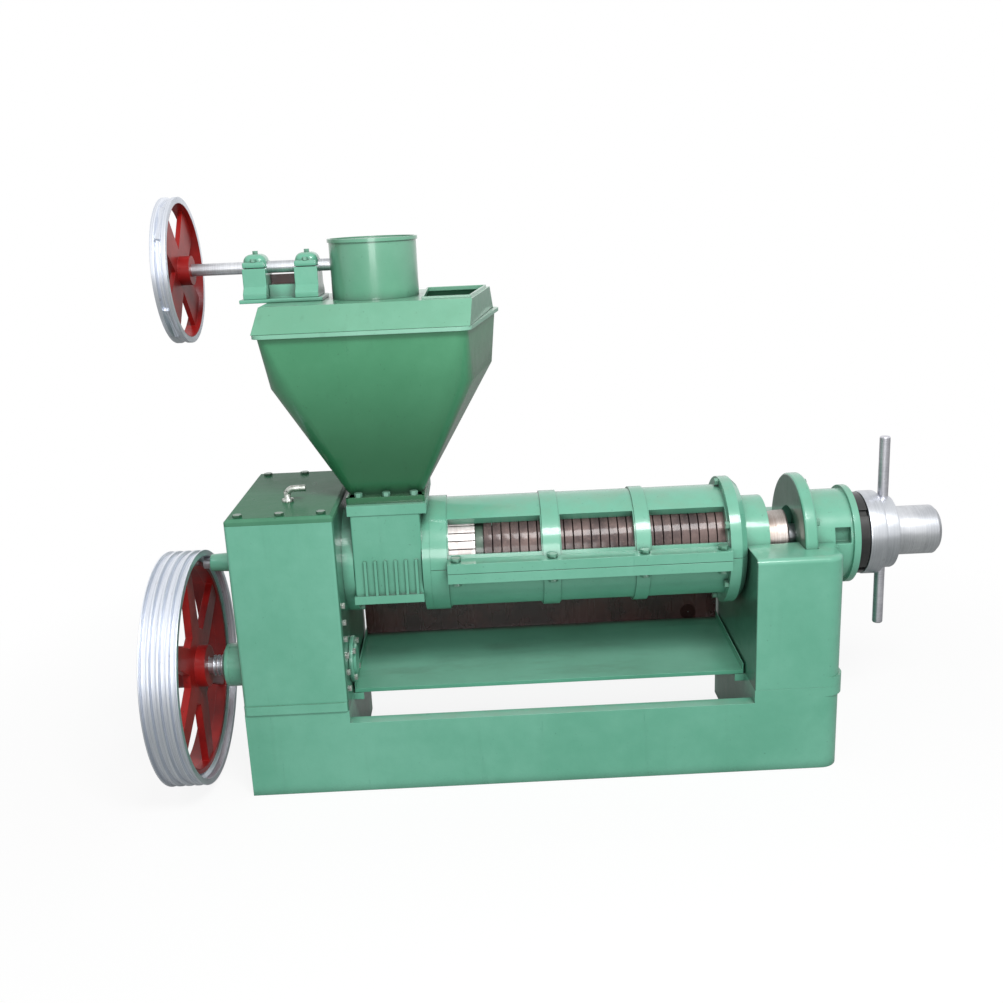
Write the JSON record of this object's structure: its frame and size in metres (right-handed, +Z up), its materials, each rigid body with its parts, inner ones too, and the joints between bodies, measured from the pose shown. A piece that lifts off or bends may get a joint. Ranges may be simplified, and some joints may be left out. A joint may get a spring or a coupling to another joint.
{
  "type": "screw oil press",
  "caption": "Cast-iron screw oil press with gearbox, V-belt pulleys, sheet hopper with driven stirrer, split barred cage over an oil tray and a screw-adjusted cake outlet",
  "frame": {"origin": "centre of the base's underside, at the middle of the foundation bolt pattern", "axes": "+X along the machine from the drive pulley to the cake outlet, -Y the operator's side, +Z up"},
  "size_m": [1.755, 0.5855, 1.269],
  "materials": {
    "green_enamel": "gloss enamel over cast iron, slightly uneven",
    "cover_green": "darker grey-green enamel, dusty",
    "sheet_green": "gloss enamel over welded sheet",
    "pulley_red": "red enamel on the spokes, machined bare rim",
    "bright_steel": "turned and slightly oily",
    "bar_steel": "ground bars with oil between them",
    "press_iron": "oil-stained dark brown",
    "gear_steel": "hobbed and oiled",
    "bearing_steel": "ground",
    "bronze": "turned",
    "packing": "greased packing",
    "black_ring": "blackened and oily"
  },
  "bodies": {
    "frame": {"base_frame": "green_enamel", "gearbox_housing": "green_enamel", "cover_bolts": "green_enamel", "breather_pipe": "green_enamel", "drain_plug": "green_enamel", "input_cap": "green_enamel", "blind_caps": "green_enamel", "tail_cap": "green_enamel", "cap_bolts": "green_enamel", "feed_housing": "green_enamel", "flange_bolts": "green_enamel", "cage_upper_half": "green_enamel", "cage_lower_half": "green_enamel", "cage_joint_bolts": "green_enamel", "pedestal": "green_enamel", "outlet_plate": "green_enamel", "bearing_housing": "green_enamel", "gearbox_cover": "cover_green", "oil_tray": "sheet_green", "hopper": "sheet_green", "hopper_lid": "sheet_green", "gear_cover": "sheet_green", "bearing_bracket": "sheet_green", "bearing_block_bases": "sheet_green", "bearing_block_caps": "sheet_green", "block_bolts": "sheet_green", "grease_cups": "bright_steel", "cage_bars": "bar_steel", "cage_divider": "bar_steel", "cage_rings": "press_iron", "outlet_ring": "press_iron", "input_bearings": "bearing_steel", "counter_bearings": "bearing_steel", "main_bearings": "bearing_steel", "auger_bush": "bronze", "shaft_seal": "packing"},
    "input_line": {"input_shaft": "bright_steel", "input_pinion": "gear_steel", "pulley_key": "bright_steel", "pulley_end_washer": "bright_steel", "drive_pulley": "pulley_red"},
    "counter_line": {"countershaft": "gear_steel", "counter_gear": "gear_steel", "counter_pinion": "gear_steel"},
    "thrust_carriage": {"thrust_bearing": "bearing_steel"},
    "press_shaft": {"main_shaft": "bright_steel", "main_gear": "gear_steel", "feed_worm": "press_iron", "press_worms": "press_iron", "press_cone": "press_iron"},
    "adjusting_screw": {"adjusting_sleeve": "bright_steel", "hand_ring": "bright_steel", "tommy_bars": "bright_steel"},
    "lock_nut": {"lock_ring": "black_ring"},
    "feed_line": {"feed_shaft": "bright_steel", "feed_pulley": "pulley_red", "bevel_pinion": "gear_steel"},
    "stirrer": {"crown_gear": "gear_steel", "feed_auger": "gear_steel"}
  },
  "joints": [
    {"name": "input_spin", "type": "hinge", "parent": "frame", "child": "input_line", "pos_m": [-0.7, -0.1, 0.27], "axis": [1, 0, 0], "continuous": true},
    {"name": "countershaft_spin", "type": "hinge", "parent": "frame", "child": "counter_line", "pos_m": [-0.58, 0.02482, 0.31591], "axis": [1, 0, 0], "continuous": true},
    {"name": "adjust_travel", "type": "slide", "parent": "frame", "child": "thrust_carriage", "axis": [1, 0, 0], "range_m": [0, 0.006]},
    {"name": "adjust_turn", "type": "hinge", "parent": "thrust_carriage", "child": "adjusting_screw", "pos_m": [0.78, 0, 0.476], "axis": [1, 0, 0], "range_deg": [0, 360]},
    {"name": "press_shaft_spin", "type": "hinge", "parent": "thrust_carriage", "child": "press_shaft", "pos_m": [0, 0, 0.476], "axis": [1, 0, 0], "continuous": true},
    {"name": "lock_nut_turn", "type": "hinge", "parent": "frame", "child": "lock_nut", "pos_m": [0.719, 0, 0.476], "axis": [1, 0, 0], "range_deg": [0, 60]},
    {"name": "feed_spin", "type": "hinge", "parent": "frame", "child": "feed_line", "pos_m": [-0.5, 0, 1.12], "axis": [1, 0, 0], "continuous": true},
    {"name": "stirrer_spin", "type": "hinge", "parent": "frame", "child": "stirrer", "pos_m": [-0.318, 0, 0.8], "axis": [0, 0, 1], "continuous": true}
  ],
  "couplings": [
    {"joint": "countershaft_spin", "follows": "input_spin", "ratio": -0.33333},
    {"joint": "press_shaft_spin", "follows": "input_spin", "ratio": 0.11111},
    {"joint": "adjust_travel", "follows": "adjust_turn", "m_per_rad": 0.00095492},
    {"joint": "stirrer_spin", "follows": "feed_spin", "ratio": -0.33333}
  ]
}
